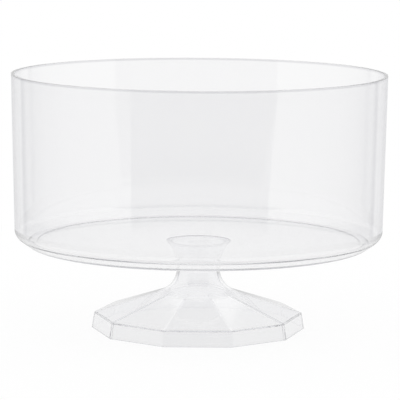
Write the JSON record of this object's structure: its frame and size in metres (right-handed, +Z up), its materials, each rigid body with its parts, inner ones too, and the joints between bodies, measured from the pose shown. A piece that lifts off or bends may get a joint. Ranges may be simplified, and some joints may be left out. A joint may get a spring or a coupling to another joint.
{
  "type": "footed trifle bowl",
  "caption": "Clear plastic footed trifle bowl: a straight-sided round bowl with a flat floor, which lifts off a hollow hourglass stem on a wide faceted foot.",
  "frame": {"origin": "on the table, under the middle of the foot", "axes": "+Z up along the axis of the stem and bowl; -Y towards the middle of the front flat side of the foot"},
  "size_m": [0.24, 0.24, 0.165],
  "materials": {
    "clear_plastic": "clear, moulded to a polish"
  },
  "bodies": {
    "pedestal": {"pedestal": "clear_plastic"},
    "bowl": {"bowl": "clear_plastic"}
  },
  "joints": [
    {"name": "bowl_lift", "type": "slide", "parent": "pedestal", "child": "bowl", "axis": [0, 0, 1], "range_m": [0, 0.03]}
  ]
}
